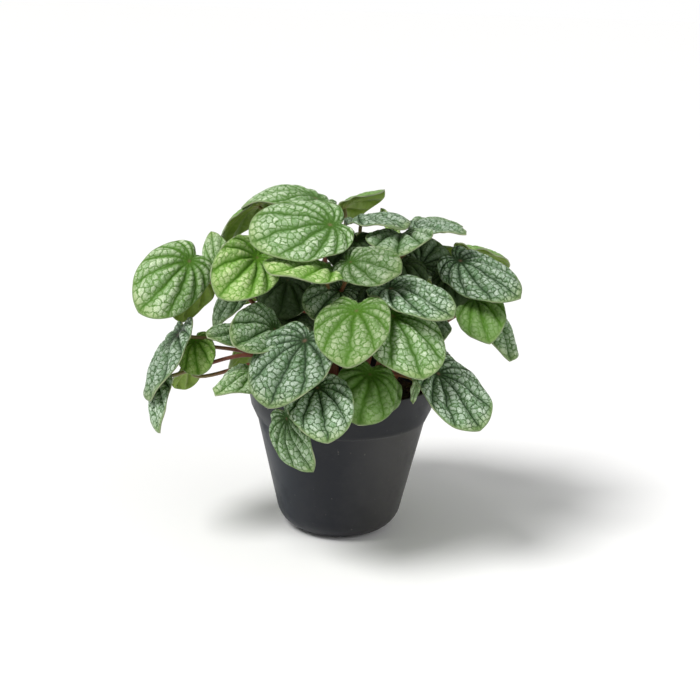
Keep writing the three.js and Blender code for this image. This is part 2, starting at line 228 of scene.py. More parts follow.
# %% [markdown]
# Three drain slots open at the edge of the foot, where the pot stands, so that water can run off to
# the side. Each cutter is a small upright rectangle spun through part of a circle, and a Boolean
# takes it out of the shell.

# %% Drain slots
DRAIN_HEADINGS = (25, 145, 265)
DRAIN_SPAN = 40
DRAIN_HEIGHT = 0.0024
DRAIN_INNER_RADIUS = 0.016
DRAIN_OUTER_RADIUS = 0.036
DRAIN_STEPS = 10
SAME_POINT = 0.00001


def drain_cutter(heading):
    deselect_all()
    width = DRAIN_OUTER_RADIUS - DRAIN_INNER_RADIUS
    start = math.radians(heading - DRAIN_SPAN / 2 - 90)
    bpy.ops.mesh.primitive_plane_add(size=1, rotation=(math.pi / 2, 0, 0))
    cutter = bpy.context.object
    cutter.name = "drain_cutter"
    cutter.scale = (width, DRAIN_HEIGHT * 2, 1)
    cutter.location = (DRAIN_INNER_RADIUS + width / 2, 0, 0)
    bpy.ops.object.transform_apply()
    cutter.rotation_euler = (0, 0, start)
    bpy.ops.object.transform_apply()
    bpy.ops.object.mode_set(mode="EDIT")
    bpy.ops.mesh.select_all(action="SELECT")
    span = math.radians(DRAIN_SPAN)
    bpy.ops.mesh.spin(steps=DRAIN_STEPS, angle=span, center=(0, 0, 0), axis=(0, 0, 1))
    bpy.ops.mesh.select_all(action="SELECT")
    bpy.ops.mesh.remove_doubles(threshold=SAME_POINT)
    bpy.ops.mesh.normals_make_consistent()
    bpy.ops.object.mode_set(mode="OBJECT")
    return cutter


for heading in DRAIN_HEADINGS:
    cutter = drain_cutter(heading)
    cut = pot.modifiers.new("drain_slot", "BOOLEAN")
    cut.operation = "DIFFERENCE"
    cut.object = cutter
    apply_modifiers(pot)
    bpy.data.objects.remove(cutter)
print("pot faces with slots:", len(pot.data.polygons))

# %% [markdown]
# Moulded plastic has no knife edges. A narrow bevel on every edge sharper than 25 degrees gives the
# lip and the collar the thin line of light that the eye expects there.

# %% Pot edges
EDGE_ROUND = 0.00045
SHARP_EDGE = math.radians(25)
SMOOTH_POT = math.radians(35)


def pick(*pieces):
    """Selects these pieces alone and makes the first one active."""
    deselect_all()
    for piece in pieces:
        piece.select_set(True)
    bpy.context.view_layer.objects.active = pieces[0]


edges = pot.modifiers.new("moulded_edges", "BEVEL")
edges.limit_method = "ANGLE"
edges.angle_limit = SHARP_EDGE
edges.width = EDGE_ROUND
edges.segments = 2
apply_modifiers(pot)
pick(pot)
bpy.ops.object.shade_smooth_by_angle(angle=SMOOTH_POT)
print("pot triangles:", sum(len(face.vertices) - 2 for face in pot.data.polygons))

# %% [markdown]
# A finish is a chain of nodes. Linking dozens of Math nodes by hand hides the formula that they stand
# for, so a wire here is a small Python object that knows its tree: adding or multiplying two wires
# places the node and hands back its output.

# %% Wires between nodes
class Wire:
    """A value that runs between nodes; sums and products of wires place Math nodes."""

    def __init__(self, tree, socket):
        self.tree = tree
        self.socket = socket

    def __add__(self, other):
        return calc("ADD", self, other)

    def __sub__(self, other):
        return calc("SUBTRACT", self, other)

    def __rsub__(self, other):
        return calc("SUBTRACT", other, self)

    def __mul__(self, other):
        return calc("MULTIPLY", self, other)

    def __truediv__(self, other):
        return calc("DIVIDE", self, other)

    def __pow__(self, other):
        return calc("POWER", self, other)

    __radd__ = __add__


def feed(socket, value):
    """Sets a socket to a number or a colour, or links a wire to it."""
    if isinstance(value, Wire):
        value.tree.links.new(value.socket, socket)
    else:
        socket.default_value = value


def calc(operation, *values, clamp=False):
    tree = next(value.tree for value in values if isinstance(value, Wire))
    node = tree.nodes.new("ShaderNodeMath")
    node.operation = operation
    node.use_clamp = clamp
    for socket, value in zip(node.inputs, values):
        feed(socket, value)
    return Wire(tree, node.outputs[0])


def parts_of(value):
    """The three numbers of a vector or a colour."""
    node = value.tree.nodes.new("ShaderNodeSeparateXYZ")
    feed(node.inputs[0], value)
    return [Wire(value.tree, socket) for socket in node.outputs]


print("wires are ready")

# %% Node helpers
def place_on_object(tree):
    return Wire(tree, tree.nodes.new("ShaderNodeTexCoord").outputs["Object"])


def ease(value, start, end):
    """0 at start, 1 at end, with a soft step between."""
    node = value.tree.nodes.new("ShaderNodeMapRange")
    node.interpolation_type = "SMOOTHSTEP"
    feed(node.inputs["Value"], value)
    node.inputs["From Min"].default_value = start
    node.inputs["From Max"].default_value = end
    return Wire(value.tree, node.outputs[0])


def blend(share, first, second):
    """The first colour where the share is 0, the second where it is 1."""
    node = share.tree.nodes.new("ShaderNodeMix")
    node.data_type = "RGBA"
    feed(node.inputs[0], share)
    feed(node.inputs[6], first)
    feed(node.inputs[7], second)
    return Wire(share.tree, node.outputs[2])


def coat(under, colour, where, strength):
    """Lays a colour over another, at its full strength where the wire is 1."""
    return blend(where * strength, under, colour)


def cloud(place, scale, detail, roughness=0.5):
    """Soft noise from 0 to 1; the scale is in bumps per unit of the place."""
    node = place.tree.nodes.new("ShaderNodeTexNoise")
    feed(node.inputs["Vector"], place)
    node.inputs["Scale"].default_value = scale
    node.inputs["Detail"].default_value = detail
    node.inputs["Roughness"].default_value = roughness
    return Wire(place.tree, node.outputs[0])


def stretched(place, scale):
    """A place squeezed along its axes, for patterns that run one way."""
    node = place.tree.nodes.new("ShaderNodeMapping")
    feed(node.inputs["Vector"], place)
    node.inputs["Scale"].default_value = scale
    return Wire(place.tree, node.outputs[0])


def emboss(finish, height, strength, depth):
    """Fine relief that only the light sees, up to a depth in metres."""
    node = height.tree.nodes.new("ShaderNodeBump")
    node.inputs["Strength"].default_value = strength
    node.inputs["Distance"].default_value = depth
    feed(node.inputs["Height"], height)
    feed(finish.inputs["Normal"], Wire(height.tree, node.outputs[0]))


def cover_with(piece, *materials):
    piece.data.materials.clear()
    for material in materials:
        piece.data.materials.append(material)


print("node helpers are ready")

# %% [markdown]
# The plastic is a dark grey with a breath of blue, satin rather than shiny. Some light is painted
# into it: the left side is painted lighter and bluer for a cool light, the right of the wall below
# the collar a lighter grey for the side lamp's sheen, a fine pale line along the collar's ledge is a
# painted highlight, and the collar above the ledge is painted darker for the shade of the leaves. A
# thin film of dust and a few pale specks of dried soil lie on it, and faint upright marks come from
# the mould. All of it is built from noise on Object coordinates, so it keeps its scale.

# %% Pot plastic
pot_plastic, tree, finish = new_finish("dusty_pot_plastic_with_painted_light")
place = place_on_object(tree)
sideways, _, height = parts_of(place)
side = sideways + cloud(place, 22, 3) * 0.02
above_ledge = height - COLLAR_BOTTOM
# painted sheen: the right of the wall below the collar, where the side lamp's light falls
painted_sheen_right = ease(side, 0.005, 0.05) * (1 - ease(above_ledge, 0, 0.003))
# painted highlight: a thin band along the collar's ledge, where light catches its edge
painted_ledge_highlight = 1 - ease(calc("ABSOLUTE", above_ledge), 0.0003, 0.0009)
dust = ease(cloud(place, 60, 5, roughness=0.65), 0.42, 0.8)
specks = ease(cloud(place, 420, 1), 0.74, 0.8)

# painted light: the left of the pot is painted lighter and bluer, standing in for a cool light on that
# side
plastic = blend(ease(side, -0.04, 0), paint(21, 31, 43), paint(10, 14, 24))
# painted sheen on the right: a lighter grey standing in for the side lamp's light
plastic = coat(plastic, paint(60, 59, 58), painted_sheen_right, 1)
# painted shade: the collar above the ledge is darkened for the shade of the leaves over it
plastic = coat(plastic, paint(3, 5, 9), ease(above_ledge, 0, 0.002), 0.4)
# the painted highlight along the ledge, in a pale grey
plastic = coat(plastic, paint(96, 96, 94), painted_ledge_highlight, 0.1)
plastic = coat(plastic, paint(80, 80, 80), dust, 0.22)
plastic = coat(plastic, paint(128, 124, 116), specks, 0.26)
feed(finish.inputs["Base Color"], plastic)
feed(finish.inputs["Roughness"], 0.42 + dust * 0.3)
finish.inputs["Specular IOR Level"].default_value = 0.33
mould_marks = cloud(stretched(place, (1, 1, 0.04)), 260, 2)
grain = cloud(place, 900, 2)
emboss(finish, mould_marks * 0.5 + grain * 0.4, strength=0.25, depth=0.0002)
cover_with(pot, pot_plastic)
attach(pot, "root")
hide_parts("pot")
print("pot finished:", pot_plastic.name)

# %% [markdown]
# The soil fills the pot to a finger's width below the rim. The body is drawn up like the pot. Its top
# is cut into many small faces and lifted by noise, so that it lies in soft heaps, and a few hundred
# crumbs are strewn over it. One crumb is modelled and copied, each copy turned and sized its own way.

# %% Soil body
SOIL_TOP = 0.086
SOIL_GAP = 0.00035
SOIL_SIDES = 96
TOP_RINGS = 28
RINGS_TO_MIDDLE = 30

soil_rings = wall_profile(WALL + SOIL_GAP, SOIL_TOP)
soil_edge = soil_rings[-1][0]
soil = draw_up("potting_soil", soil_rings, SOIL_SIDES)
bpy.ops.object.mode_set(mode="EDIT")
bpy.ops.mesh.select_all(action="DESELECT")
bpy.ops.mesh.select_mode(type="FACE")
soil_mesh = bmesh.from_edit_mesh(soil.data)
for face in soil_mesh.faces:
    face.select = face.normal.z > 0.9 and face.calc_center_median().z > SOIL_TOP - 0.001
bmesh.update_edit_mesh(soil.data)
for _ in range(TOP_RINGS):
    bpy.ops.mesh.inset(thickness=soil_edge / RINGS_TO_MIDDLE, depth=0)
bpy.ops.mesh.poke()
bpy.ops.object.mode_set(mode="OBJECT")
print("soil faces:", len(soil.data.polygons))

# %% Soil surface
HEAP_SIZE = 0.018
HEAP_HEIGHT = 0.004
CRUMBLY_SIZE = 0.0035
CRUMBLY_HEIGHT = 0.0026
SMOOTH_SOIL = math.radians(45)


def noise_of(name, size, depth):
    noise = bpy.data.textures.new(name, "CLOUDS")
    noise.noise_scale = size
    noise.noise_depth = depth
    return noise


heap = noise_of("soil_heaps", HEAP_SIZE, 3)
crumbly = noise_of("soil_crumbs", CRUMBLY_SIZE, 2)
top = soil.vertex_groups.new(name="top")
open_soil = [v for v in soil.data.vertices if v.co.z > SOIL_TOP - 0.0005]
inner = [v.index for v in open_soil if v.co.xy.length < soil_edge - 0.001]
top.add(inner, 1.0, "REPLACE")
for texture, strength in ((heap, HEAP_HEIGHT), (crumbly, CRUMBLY_HEIGHT)):
    lift = soil.modifiers.new("lift", "DISPLACE")
    lift.texture = texture
    lift.strength = strength
    lift.direction = "Z"
    lift.vertex_group = "top"
apply_modifiers(soil)
pick(soil)
bpy.ops.object.shade_smooth_by_angle(angle=SMOOTH_SOIL)
heights = [soil.data.vertices[index].co.z for index in inner]
print("soil top from", round(min(heights), 4), "to", round(max(heights), 4))

# %% Soil crumbs
CRUMBS = 520
CRUMB_SMALLEST = 0.0007
CRUMB_SPREAD = 0.0016
CRUMB_SHAPE = (1, 0.8, 0.65)
CRUMB_LUMPS = 0.9
CRUMB_LIFT = 0.0006
CRUMB_FREE_EDGE = 0.003
ANY_TURN = 6.28
chance = np.random.default_rng(7)

deselect_all()
bpy.ops.mesh.primitive_ico_sphere_add(subdivisions=2)
soil_crumbs = bpy.context.object
soil_crumbs.name = "soil_crumbs"
lump = soil_crumbs.modifiers.new("lump", "DISPLACE")
lump.texture = noise_of("crumb_lumps", CRUMB_LUMPS, 3)
lump.strength = 0.5
apply_modifiers(soil_crumbs)
bpy.ops.object.mode_set(mode="EDIT")
bpy.ops.mesh.select_all(action="SELECT")
bpy.ops.transform.resize(value=CRUMB_SHAPE, center_override=(0, 0, 0))
bpy.ops.object.mode_set(mode="OBJECT")

crumb_points = np.array([v.co for v in soil_crumbs.data.vertices])
crumb_faces = np.array([list(face.vertices) for face in soil_crumbs.data.polygons])
points = []
faces = []
for index in range(CRUMBS):
    radius = (soil_edge - CRUMB_FREE_EDGE) * math.sqrt(chance.random())
    bearing = chance.random() * 2 * math.pi
    size = CRUMB_SMALLEST + CRUMB_SPREAD * chance.random() ** 2
    spin = Matrix.Rotation(chance.random() * ANY_TURN, 3, Vector(chance.normal(size=3)).normalized())
    spot = np.array([radius * math.cos(bearing), radius * math.sin(bearing), SOIL_TOP + CRUMB_LIFT])
    faces.append(crumb_faces + len(crumb_points) * index)
    points.append(crumb_points * size @ np.array(spin).T + spot)
strewn = bpy.data.meshes.new("soil_crumbs")
strewn.from_pydata(np.concatenate(points).tolist(), [], np.concatenate(faces).tolist())
soil_crumbs.data = strewn
pick(soil_crumbs)
bpy.ops.object.shade_smooth()
print("crumbs:", CRUMBS, "faces:", len(strewn.polygons))

# %% [markdown]
# Potting soil is a brown so dark that it nearly reads as black between the stems, matte, with
# lighter fibres here and there. Noise at two scales carries the colour and a bump the fine grain.

# %% Soil finish
potting_soil, tree, finish = new_finish("crumbly_potting_soil")
place = place_on_object(tree)
dryness = ease(cloud(place, 90, 4), 0.35, 0.65)
fibres = ease(cloud(stretched(place, (1, 0.25, 1)), 520, 3), 0.66, 0.74)
earth = blend(dryness, paint(26, 18, 13), paint(58, 42, 30))
earth = coat(earth, paint(120, 92, 62), fibres, 0.6)
feed(finish.inputs["Base Color"], earth)
finish.inputs["Roughness"].default_value = 0.95
finish.inputs["Specular IOR Level"].default_value = 0.2
emboss(finish, cloud(place, 700, 4, roughness=0.7), strength=0.8, depth=0.0008)
for piece in (soil, soil_crumbs):
    cover_with(piece, potting_soil)
    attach(piece, "root")
    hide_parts("soil")
print("soil finished:", potting_soil.name)

# %% [markdown]
# Every blade has the same outline: broad, heart-shaped, with a short tip and a shallow notch, and
# the petiole joins it inside the blade near the notch. A flat sheet of that outline is made once,
# and each leaf is a copy of it that is bent to its place. A grid is the start. Its square is rounded
# to a disc, and the disc is pulled out to the outline, so that no cell is pinched at the hub as it
# would be in a fan of rings.

# %% Leaf outline
OUTLINE_MEAN = 0.5325
OUTLINE_COSINES = (0.344, 0.0575, 0.046)
TIP_REACH = 0.02
TIP_SPREAD = 0.12
NOTCH_DEPTH = 0.06
NOTCH_SPREAD = 0.25
SHOULDER_LOSS = 0.16
SHOULDER_START = 0.3
SHOULDER_SPREAD = 1.1
HALF_WIDTH = 0.535
OUTLINE_STEPS = 2880


def outline_radius(angle, slim=0):
    """Distance from hub to margin as a share of the leaf's length; the angle is 0 at the tip."""
    angle = np.abs(angle)
    waves = sum(size * np.cos((index + 1) * angle) for index, size in enumerate(OUTLINE_COSINES))
    point = TIP_REACH * np.exp(-angle / TIP_SPREAD)
    notch = NOTCH_DEPTH * np.exp(-(math.pi - angle) / NOTCH_SPREAD)
    shoulder = (1 - np.exp(-angle / SHOULDER_START)) * np.exp(-(angle / SHOULDER_SPREAD) ** 2)
    return OUTLINE_MEAN + waves + point - notch - slim * SHOULDER_LOSS * shoulder


walk = np.linspace(-math.pi, math.pi, OUTLINE_STEPS + 1)
margin = np.stack([outline_radius(walk) * np.cos(walk), outline_radius(walk) * np.sin(walk)], axis=1)
walked = np.concatenate([[0], np.cumsum(np.linalg.norm(np.diff(margin, axis=0), axis=1))])
bearing_of = (walked / walked[-1] * 2 - 1) * math.pi
print("leaf half width:", round(margin[:, 1].max(), 3), "of its length")

# %% Flat leaf sheet
BROAD_CELLS = 60
SMALL_CELLS = 38
SHEET_MIDDLE = 0.37


def points_of(piece):
    flat = np.zeros(len(piece.data.vertices) * 3)
    piece.data.vertices.foreach_get("co", flat)
    return flat.reshape(-1, 3)


def flat_sheet(name, cells):
    """A grid rounded to a disc and pulled out to the leaf's outline, in shares of its length."""
    deselect_all()
    bpy.ops.mesh.primitive_grid_add(x_subdivisions=cells, y_subdivisions=cells, size=2)
    sheet = bpy.context.object
    sheet.name = name
    square = points_of(sheet)
    disc_x = square[:, 0] * np.sqrt(1 - square[:, 1] ** 2 / 2)
    disc_y = square[:, 1] * np.sqrt(1 - square[:, 0] ** 2 / 2)
    share = np.hypot(disc_x, disc_y)
    bearing = np.arctan2(disc_y, disc_x)
    edge_x = np.interp(bearing, bearing_of, margin[:, 0])
    edge_y = np.interp(bearing, bearing_of, margin[:, 1])
    square[:, 0] = SHEET_MIDDLE + share * (edge_x - SHEET_MIDDLE)
    square[:, 1] = share * edge_y
    sheet.data.vertices.foreach_set("co", square.ravel())
    return sheet


broad_sheet = flat_sheet("broad_sheet", BROAD_CELLS)
small_sheet = flat_sheet("small_sheet", SMALL_CELLS)
print("cells of the two sheets:", BROAD_CELLS ** 2, SMALL_CELLS ** 2)

# %% [markdown]
# Where each leaf hangs is read from the photograph, and at the back from how such a plant grows. A
# leaf is given by its hub, its tip, the way its upper face looks, its width, how far it arches along
# its middle and how far its sides hang, as in the solids. The last word says what tone it has: young
# leaves in the light are a fresh yellow-green, older ones silver, and the inner ones are painted
# dark, a painted shade.

# %% Leaf tones
# tone: silver of the pads, freshness of the green, depth of painted shade for leaves in shade, size of
# the pads, depth of quilting
TONES = {
    "silver": (0.95, 0.08, 0, 1, 1),
    "steel": (0.88, 0.05, 0.16, 1, 1),
    "bright": (0.95, 0.35, 0, 1.15, 0.75),
    "pale": (1, 0.45, 0, 1.25, 0.6),
    "middle": (0.8, 0.2, 0.1, 1, 0.95),
    "young": (0.8, 0.6, 0.31, 1.15, 0.8),
    "fresh": (0.95, 0.88, 0, 1.15, 0.8),
    "grass": (0.9, 0.4, 0.38, 1.1, 1),
    "glossy": (0.65, 1, 0, 1.1, 0.6),
    "deep": (0.3, 0.55, 0.26, 1.2, 0.65),
    "inner": (0.6, 0.15, 0.5, 1, 1),
    "glimpse": (0.95, 0.15, 0.25, 1, 1),
    "hidden": (0.3, 0.3, 0.82, 1, 1),
    "olive": (0.45, 0.6, 0.1, 1.1, 0.7),
    "sheath": (1, 0.4, 0, 2.5, 0.6),
}


def way(heading, height):
    """A direction: a heading from the front towards the right, and a height above level."""
    level = math.cos(math.radians(height))
    turn = math.radians(heading)
    return (math.sin(turn) * level, -math.cos(turn) * level, math.sin(math.radians(height)))


def leaf(hub, tip, face, width, arch, cup, tone):
    return SimpleNamespace(
        hub=hub, tip=tip, face=way(*face), width=width, arch=arch, cup=cup, tone=TONES[tone],
    )


def ring_leaf(heading, hub_at, tip_at, swing, width, arch, cup, tone):
    """A leaf of the sides and the back, by its heading round the pot."""
    hub_way = way(heading, 0)
    tip_way = way(heading + swing, 0)
    slope = math.degrees(math.atan2(hub_at[1] - tip_at[1], tip_at[0] - hub_at[0]))
    hub = (hub_way[0] * hub_at[0], hub_way[1] * hub_at[0], hub_at[1])
    tip = (tip_way[0] * tip_at[0], tip_way[1] * tip_at[0], tip_at[1])
    return leaf(hub, tip, (heading, 90 - slope), width, arch, cup, tone)


print("tones:", ", ".join(TONES))

# %% Leafy stems of the front
# all places in millimetres
STEMS = {
    "front_left": ((-16, -22), (-28, -42, 108), [
        leaf((-22, -76, 140), (-41, -105, 110), (-28, 40), 49, 3, 2, "steel"),
        leaf((-31, -81, 95), (-15, -94, 67), (-42, 10), 27, 4, -1, "middle"),
        leaf((-51, -60, 116), (-72, -90, 110), (-30, 60), 26, 2, 5, "bright"),
        leaf((-41, -50, 140), (-62, -84, 138), (-5, 30), 34, 3, -4, "middle"),
        leaf((-31, -32, 141), (-28, -50, 128), (5, 40), 28, 3, 3, "hidden"),
    ]),
    "front": ((0, -28), (2, -46, 106), [
        leaf((-14, -82, 114), (-7, -111, 92), (-3, 43), 37, 5, 2, "silver"),
        leaf((16, -68, 119), (10, -91, 96), (8, 35), 36, 4, 5, "deep"),
        leaf((17, -60, 117), (17, -84, 98), (14, 30), 36, 4, 5, "deep"),
        leaf((7, -70, 157), (2, -104, 134), (-15, 43), 43, 3, 1, "young"),
    ]),
    "front_right": ((18, -22), (28, -36, 108), [
        leaf((28, -63, 153), (46, -96, 125), (20, 41), 45, 4, 4, "bright"),
        leaf((56, -62, 119), (81, -84, 92), (38, 30), 42, 3, 2, "silver"),
        leaf((27, -48, 166), (62, -77, 156), (30, 53), 38, 5, 2, "silver"),
        leaf((45, -38, 147), (58, -63, 139), (18, 37), 24, 3, 2, "inner"),
        leaf((43, -52, 112), (42, -57, 99), (20, 20), 5, 1, 1, "sheath"),
    ]),
    "right": ((26, -6), (48, -14, 118), [
        leaf((70, -12, 177), (104, -41, 162), (12, 43), 36, 3, 9, "steel"),
        leaf((80, -15, 154), (87, -46, 135), (-5, 37), 30, 3, 3, "deep"),
        leaf((88, -2, 148), (102, -29, 119), (53, 24), 34, 5, 5, "middle"),
        leaf((73, 20, 178), (106, 43, 163), (162, 57), 31, 3, 5, "olive"),
        leaf((64, -4, 165), (69, -22, 151), (5, 40), 24, 3, 3, "hidden"),
    ]),
    "left": ((-27, -4), (-52, -12, 106), [
        leaf((-101, -23, 128), (-116, -49, 93), (-68, 23), 46, 4, 4, "steel"),
        leaf((-110, -30, 103), (-109, -55, 76), (-68, 21), 28, 3, 4, "silver"),
        leaf((-91, -16, 122), (-87, -38, 107), (-12, 32), 23, 3, 4, "glossy"),
        leaf((-95, -9, 101), (-101, 9, 85), (-145, 27), 23, 3, 3, "olive"),
        leaf((-58, -38, 111), (-66, -54, 104), (-28, 29), 21, 3, 4, "middle"),
    ]),
    "upper_left": ((-22, -14), (-44, -22, 128), [
        leaf((-95, -18, 173), (-122, -42, 146), (4, 16), 39, 7, 6, "pale"),
        leaf((-53, -32, 179), (-72, -67, 163), (15, 25), 37, 3, -2, "fresh"),
        leaf((-60, -19, 160), (-77, -47, 137), (-32, 25), 23, 4, 2, "inner"),
        leaf((-54, -41, 132), (-78, -68, 138), (-13, 52), 28, 3, 3, "middle"),
        leaf((-35, -18, 163), (-39, -35, 143), (0, 30), 34, 3, 3, "hidden"),
    ]),
    "left_back": ((-24, 10), (-40, 8, 130), [
        leaf((-78, 0, 164), (-85, 17, 186), (-20, 16), 20, 3, 3, "pale"),
        leaf((-90, 0, 159), (-103, 8, 129), (-149, 40), 30, 4, 3, "olive"),
    ]),
    "top_front": ((-6, -14), (-8, -22, 140), [
        leaf((-10, -32, 200), (-56, -48, 192), (0, 54), 50, 5, 4, "bright"),
        leaf((-12, -41, 175), (-43, -70, 177), (-1, 78), 46, 4, 2, "fresh"),
        leaf((3, -48, 181), (31, -68, 180), (4, 50), 32, 3, 4, "grass"),
        leaf((-3, -30, 160), (-19, -52, 148), (1, 39), 30, 3, 3, "glimpse"),
        leaf((6, -16, 188), (4, -40, 172), (0, 45), 34, 2, 3, "hidden"),
        leaf((13, -22, 161), (12, -39, 147), (5, 35), 26, 3, 3, "hidden"),
    ]),
}
print("stems at the front:", len(STEMS))

# %% Leafy stems of the top and the back
STEMS.update({
    "top": ((-4, 6), (-14, 8, 146), [
        leaf((-20, 7, 210), (-66, 15, 202), (0, 90), 51, 13, 6, "bright"),
        leaf((-56, 23, 202), (-77, 41, 176), (-125, 38), 38, 3, 5, "olive"),
        leaf((-2, 16, 203), (23, 40, 208), (175, 42), 31, 2, 5, "olive"),
    ]),
    "top_right": ((12, -4), (26, -4, 142), [
        leaf((33, -17, 192), (30, -43, 186), (-14, 47), 39, 3, -1, "middle"),
        leaf((9, -9, 200), (35, -30, 200), (0, 87), 33, 4, 3, "steel"),
        leaf((43, 17, 192), (70, 44, 192), (0, 88), 36, 2, 2, "middle"),
        leaf((43, 2, 195), (72, -20, 195), (0, 86), 28, 2, 2, "steel"),
        leaf((47, 3, 171), (59, 19, 183), (0, 30), 31, 3, 3, "inner"),
        leaf((35, -2, 172), (41, -21, 160), (10, 35), 26, 3, 3, "hidden"),
        leaf((30, 15, 189), (21, 26, 203), (0, 20), 8, 1, 1, "fresh"),
    ]),
    "back_right": ((20, 12), (36, 18, 126), [
        ring_leaf(98, (70, 106), (90, 68), 3, 42, 4, 4, "silver"),
        ring_leaf(132, (72, 108), (93, 72), -4, 46, 4, 4, "middle"),
        ring_leaf(108, (60, 150), (94, 132), 5, 44, 4, 4, "bright"),
        ring_leaf(138, (62, 157), (97, 138), 3, 44, 4, 4, "silver"),
    ]),
    "back": ((2, 24), (4, 40, 128), [
        ring_leaf(160, (74, 120), (104, 88), 4, 46, 4, 4, "silver"),
        ring_leaf(192, (72, 114), (100, 80), -5, 46, 4, 4, "bright"),
        ring_leaf(174, (58, 152), (96, 134), 4, 46, 4, 4, "silver"),
        ring_leaf(148, (38, 182), (80, 170), 3, 42, 4, 4, "bright"),
    ]),
    "back_left": ((-16, 18), (-28, 30, 128), [
        ring_leaf(224, (72, 112), (96, 78), 3, 46, 4, 4, "middle"),
        ring_leaf(208, (60, 158), (96, 142), -3, 44, 4, 4, "silver"),
        ring_leaf(240, (62, 148), (92, 126), 3, 42, 4, 4, "bright"),
        ring_leaf(202, (36, 184), (78, 173), -3, 44, 4, 4, "silver"),
        ring_leaf(232, (46, 178), (84, 163), 4, 42, 4, 4, "pale"),
    ]),
})
print("stems:", len(STEMS), "leaves:", sum(len(stem[2]) for stem in STEMS.values()))

# %% [markdown]
# A blade is a growth form, so a formula bends it better than a hand does: it arches along its
# middle, its sides hang, it dips over the petiole, it is creased along its main veins, and its margin
# waves a little differently on each leaf. While a copy of the sheet is bent, each point also keeps
# what the pattern needs later: where it lies on the flat leaf, and the leaf's tone with its painted
# shade.

# %% Shape of a blade
VEIN_STEP = math.pi / 5
NARROWING = 0.3
NARROWING_POWER = 1.2
ROUND_RATIO = 0.8
SLIM_RATIO = 0.55
CREST = 0.35
HUB_DIMPLE = 3
DIMPLE_SPREAD = 0.22
CREASE_DEPTH = 0.5
RUFFLES = ((0.9, 4), (0.5, 9))
LOBE_SIZE = 0.018
LOBES = 4


def blade_frame(item):
    hub = np.array(item.hub, float)
    along = np.array(item.tip, float) - hub
    length = np.linalg.norm(along)
    along /= length
    face = np.array(item.face)
    up = face - along * face.dot(along)
    up /= np.linalg.norm(up)
    return hub, along, np.cross(up, along), up, length


def slimness(ratio):
    """0 for a round leaf, 1 for one so narrow that it is drawn in beside its tip to a point."""
    return min(max((ROUND_RATIO - ratio) / (ROUND_RATIO - SLIM_RATIO), 0), 1)


def arch_of(item, u):
    """The arch along the middle, highest between the hub and the tip."""
    return item.arch * (1 - ((u - CREST) / (1 - CREST)) ** 2)


def blade_height(item, u, v, share, phases):
    """Height of the blade over the line from hub to tip, in millimetres."""
    angle = np.arctan2(v, u)
    turned = angle / (1 - NARROWING * share ** NARROWING_POWER)
    hub_height = arch_of(item, 0) - HUB_DIMPLE
    dimple = HUB_DIMPLE * np.exp(-(np.hypot(u, v) / DIMPLE_SPREAD) ** 2)
    sides = item.cup * (v / HALF_WIDTH) ** 2
    crease = CREASE_DEPTH * np.cos(math.pi / VEIN_STEP * turned) * share ** 2
    ruffle = sum(size * np.sin(waves * angle + phase) for (size, waves), phase in zip(RUFFLES, phases))
    return arch_of(item, u) - sides - dimple - crease + ruffle * share ** 4 - hub_height + u * hub_height


print("main veins at the hub:", round(2 * math.pi / VEIN_STEP))

# %% Bend a blade
NOMINAL_LENGTH = 50
BROAD_LEAF = 36
PAD_GROWTH = 0.7
SEED_STEP = 1.7


def write_attribute(mesh, name, values):
    kind = "FLOAT_VECTOR" if values.ndim == 2 else "FLOAT"
    attribute = mesh.attributes.new(name, kind, "POINT")
    attribute.data.foreach_set("vector" if kind == "FLOAT_VECTOR" else "value", values.ravel())


def bend_blade(item, number):
    """One copy of the flat sheet, bent to its place, in metres."""
    hub, along, across, up, length = blade_frame(item)
    broad = length > BROAD_LEAF or item.width > BROAD_LEAF
    source = broad_sheet if broad else small_sheet
    blade = source.copy()
    blade.data = source.data.copy()
    bpy.context.collection.objects.link(blade)
    flat = points_of(blade)
    angle = np.arctan2(flat[:, 1], flat[:, 0])
    share = np.hypot(flat[:, 0], flat[:, 1]) / outline_radius(angle)
    widen = item.width / (2 * HALF_WIDTH * length)
    drawn_in = outline_radius(angle, slimness(widen)) / outline_radius(angle)
    u = flat[:, 0] * drawn_in
    v = flat[:, 1] * drawn_in
    phases = np.random.default_rng(100 + number).random(3) * ANY_TURN
    height = blade_height(item, u, v, share, phases)
    lobes = 1 + LOBE_SIZE * np.sin(LOBES * angle + phases[2]) * share
    along_mm = np.outer(u * length * lobes, along)
    across_mm = np.outer(v * length * widen * lobes, across)
    points = hub + along_mm + across_mm + np.outer(height, up)
    blade.data.vertices.foreach_set("co", (points / 1000).ravel())
    silver, fresh, painted_shade, pads, relief = item.tone
    pads = pads * (NOMINAL_LENGTH / length) ** PAD_GROWTH
    on_leaf = np.stack([u * NOMINAL_LENGTH, v * NOMINAL_LENGTH, share], axis=1)
    write_attribute(blade.data, "on_leaf", on_leaf)
    write_attribute(blade.data, "leaf_tone_and_shade", np.tile([silver, fresh, painted_shade], (len(u), 1)))
    write_attribute(blade.data, "leaf_kind", np.tile([number * SEED_STEP, pads, relief], (len(u), 1)))
    return blade


print("blades will be bent from", broad_sheet.name, "and", small_sheet.name)

# %% [markdown]
# The quilting is what makes this leaf. Veins run from the hub and bend together towards the tip. The
# tissue between two veins swells into a ridge, and thin rungs part the ridge into small pads. It
# could be sculpted on every leaf. Here the pattern is written once as a chain of nodes, because
# Geometry Nodes and materials share the Math, Noise and Voronoi nodes: the first use of the chain
# lifts the real surface, the second colours it, and both always agree. The pads are Voronoi cells,
# drawn anew in each strip between two veins, so that no pad reaches across a vein.

# %% Pattern helpers
def to_border(value):
    """Distance from the nearer whole number, from 0 to one half."""
    return 0.5 - calc("ABSOLUTE", calc("FRACT", value) - 0.5)


